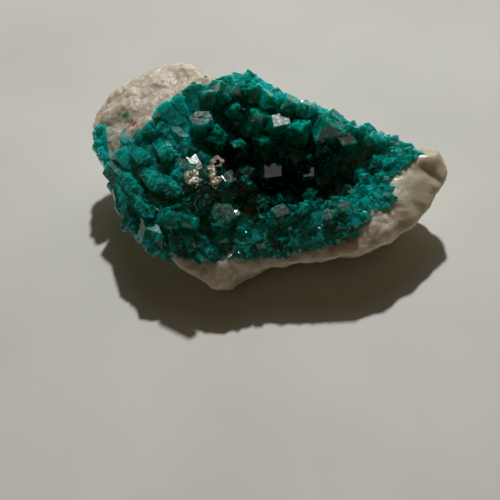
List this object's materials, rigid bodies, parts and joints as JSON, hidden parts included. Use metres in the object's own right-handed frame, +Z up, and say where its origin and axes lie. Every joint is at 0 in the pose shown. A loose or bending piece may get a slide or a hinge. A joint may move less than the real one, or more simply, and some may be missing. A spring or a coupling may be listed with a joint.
{
  "type": "dioptase crystals on calcite",
  "caption": "Loose mineral specimen: deep green dioptase crystals lining a shallow hollow in a rough piece of pale calcite.",
  "frame": {"origin": "middle of the specimen's outline, on the surface that it rests on", "axes": "+Z up, +X towards the glassy calcite tip at the viewer's right, +Y away from the viewer towards the raised back rim"},
  "size_m": [0.0596, 0.046, 0.02],
  "materials": {
    "calcite": "granular, slightly translucent, dull to glassy",
    "dioptase": "transparent deep green, glassy crystal faces"
  },
  "bodies": {
    "root": {"calcite_matrix": "calcite", "dioptase_crust": "dioptase", "dioptase_side_patch": "dioptase", "perched_calcite_left": "calcite", "perched_calcite_right": "calcite"}
  },
  "joints": []
}
